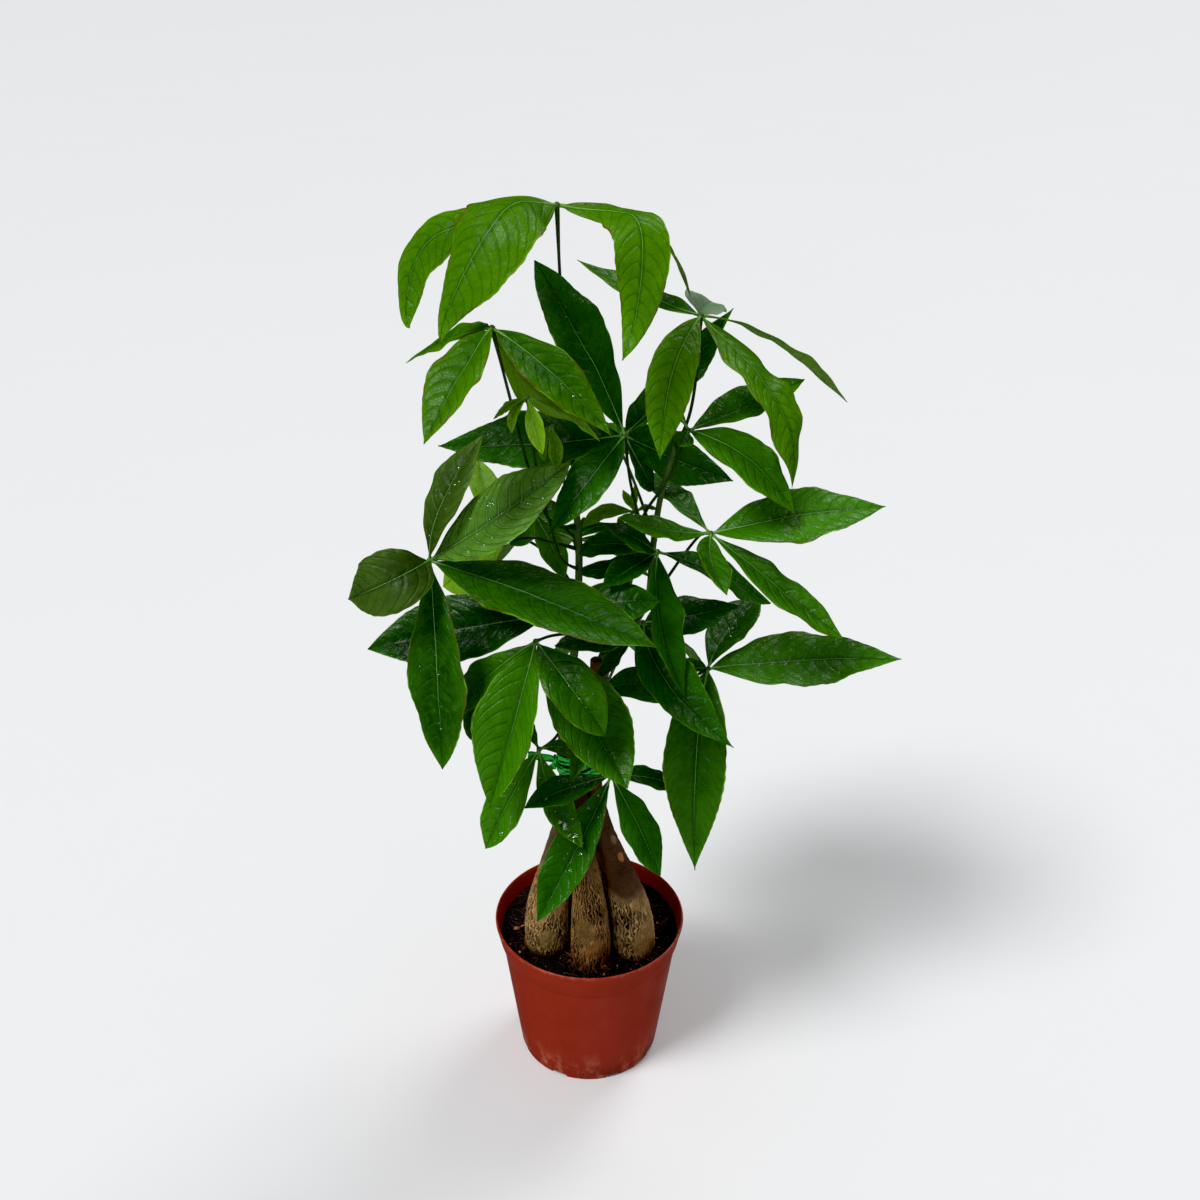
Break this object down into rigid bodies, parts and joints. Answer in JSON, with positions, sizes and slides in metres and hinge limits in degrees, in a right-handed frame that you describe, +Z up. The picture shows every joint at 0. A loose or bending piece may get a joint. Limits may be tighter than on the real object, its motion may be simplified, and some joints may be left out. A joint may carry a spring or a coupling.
{
  "type": "potted money tree",
  "caption": "Potted money tree: thick tied trunks in a round plastic nursery pot, with hand-shaped leaves on slender green shoots above.",
  "frame": {"origin": "middle of the underside of the pot's base, on the floor", "axes": "+Z up along the pot's axis; the side seen in the picture faces -Y, with +X to its right"},
  "size_m": [0.4368, 0.292, 0.7728],
  "materials": {
    "pot": "satin",
    "soil": "matt, crumbly",
    "bark": "matt, finely cracked",
    "stem": "satin",
    "tape": "gloss",
    "leaf_young": "satin",
    "leaf_green": "gloss",
    "leaf_dark": "gloss",
    "leaf_bud": "satin"
  },
  "bodies": {
    "root": {"pot": "pot", "soil": "soil", "trunk_left": "bark", "trunk_middle": "bark", "trunk_right": "bark", "trunk_back_right": "bark", "trunk_back_left": "bark", "shoot_left": "stem", "shoot_right": "stem", "shoot_middle": "stem", "tie_tape": "tape", "leaf_crown": "leaf_young", "leaf_upper_left": "leaf_young", "leaf_upper_right": "leaf_young", "young_leaf_left": "leaf_bud", "young_leaf_hanging": "leaf_bud", "young_buds": "leaf_bud", "leaf_left_back": "leaf_bud", "leaf_upper_middle": "leaf_dark", "leaf_inner": "leaf_dark", "leaf_centre_front": "leaf_dark", "leaf_left_dark": "leaf_dark", "leaf_low_front": "leaf_dark", "leaf_back_low": "leaf_dark", "leaf_right_high": "leaf_green", "leaf_right_middle": "leaf_green", "leaf_right_low": "leaf_green", "leaf_left_big": "leaf_green", "leaf_left_inner": "leaf_green", "leaf_front_low": "leaf_green", "leaf_low_inner": "leaf_green", "leaf_low_left": "leaf_green", "leaf_back_high": "leaf_green", "leaf_back_middle": "leaf_green"}
  },
  "joints": []
}
